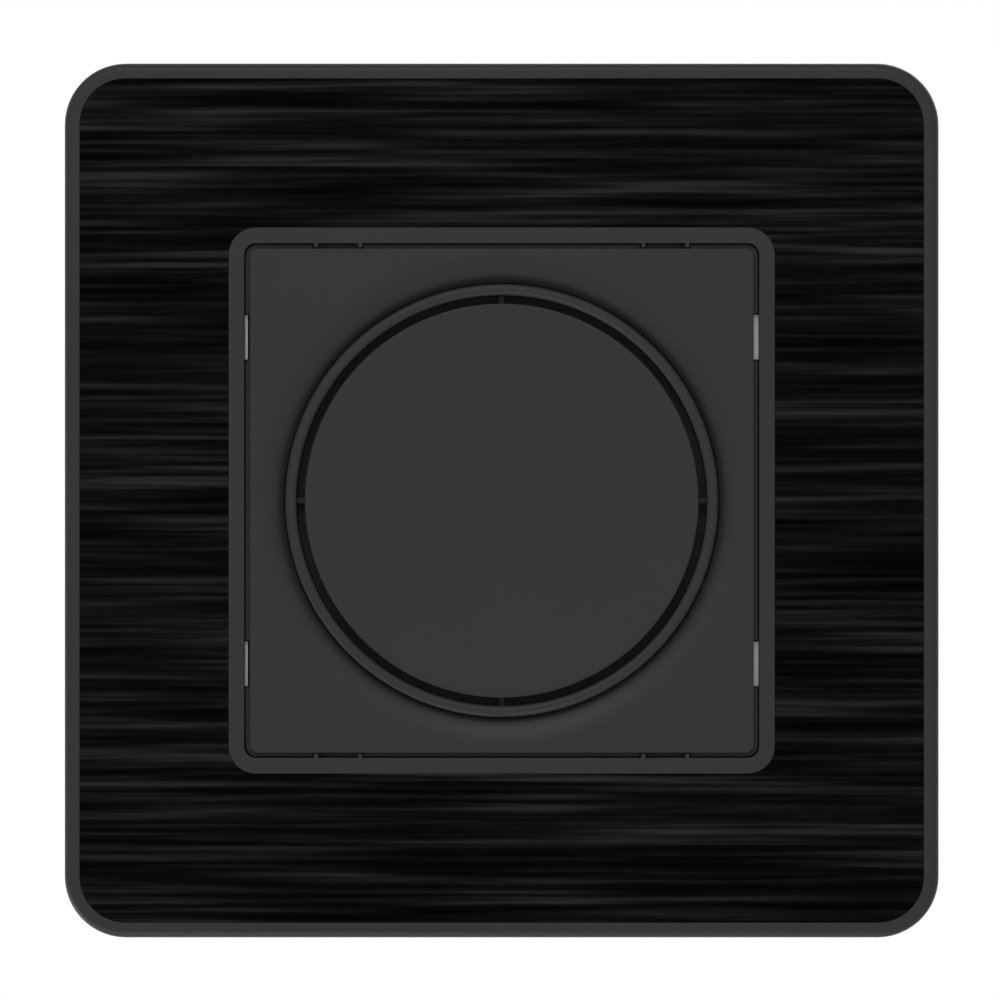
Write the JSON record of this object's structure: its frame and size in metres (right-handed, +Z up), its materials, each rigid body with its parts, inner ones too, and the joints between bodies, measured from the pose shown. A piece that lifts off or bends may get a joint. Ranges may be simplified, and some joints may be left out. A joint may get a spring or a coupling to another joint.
{
  "type": "rotary dimmer switch",
  "caption": "Flush-mounted light dimmer with a square frame, a dark metal inlay and a flat round dial that turns and presses in.",
  "frame": {"origin": "centre of the bracket's fixing slots, on the wall's surface", "axes": "+Y into the wall, the front faces -Y, +X to the right, +Z up"},
  "size_m": [0.085, 0.0396, 0.085],
  "materials": {
    "anthracite_plastic": "fine satin texture",
    "brushed_black_metal": "black, brushed from side to side",
    "galvanised_steel": "galvanised sheet",
    "turned_steel": "bright",
    "turned_brass": "turned",
    "plated_brass": "tin plated",
    "housing_plastic": "dull",
    "board_laminate": "lacquered",
    "black_moulding": "moulded",
    "white_plastic": "moulded",
    "carbon_track": "carbon film on laminate",
    "ferrite": "sintered",
    "copper_wire": "enamelled copper",
    "capacitor_film": "moulded box",
    "sink_aluminium": "mill finish",
    "fuse_glass": "clear",
    "capacitor_sleeve": "shrunk sleeve"
  },
  "bodies": {
    "fixed": {"cover_frame": "anthracite_plastic", "metal_inlay": "brushed_black_metal", "centre_plate": "anthracite_plastic", "threaded_bushing": "turned_brass", "lock_washer": "turned_steel", "clamping_nut": "turned_steel", "mounting_bracket": "galvanised_steel", "device_housing": "housing_plastic", "housing_screws": "turned_steel", "circuit_board": "board_laminate", "potentiometer_case": "black_moulding", "resistor_track": "carbon_track", "switch_case": "black_moulding", "switch_cover": "black_moulding", "return_spring": "turned_steel", "fixed_contacts": "plated_brass", "terminal_cages": "plated_brass", "terminal_screws": "turned_steel", "choke_core": "ferrite", "choke_winding": "copper_wire", "film_capacitor": "capacitor_film", "heat_sink": "sink_aluminium", "power_triac": "black_moulding", "fuse_tube": "fuse_glass", "fuse_caps": "plated_brass", "fuse_clips": "plated_brass", "control_chip": "black_moulding", "smoothing_capacitor": "capacitor_sleeve"},
    "plunger": {"push_plunger": "white_plastic", "contact_bridge": "plated_brass"},
    "dial": {"dial_ring": "anthracite_plastic", "dial_cap": "anthracite_plastic", "control_shaft": "turned_steel"},
    "rotor": {"wiper_rotor": "white_plastic", "wiper_spring": "plated_brass"}
  },
  "joints": [
    {"name": "dial_press", "type": "slide", "parent": "fixed", "child": "plunger", "axis": [0, 1, 0], "range_m": [0, 0.001], "stiffness_N_per_m": 1500, "springref_m": -0.001, "deforming": ["return_spring"]},
    {"name": "dial_turn", "type": "hinge", "parent": "plunger", "child": "dial", "pos_m": [0, 0, 0], "axis": [0, 1, 0], "range_deg": [-135, 135]},
    {"name": "rotor_turn", "type": "hinge", "parent": "fixed", "child": "rotor", "pos_m": [0, 0, 0], "axis": [0, 1, 0], "range_deg": [-135, 135]}
  ],
  "couplings": [
    {"joint": "rotor_turn", "follows": "dial_turn", "ratio": 1}
  ]
}
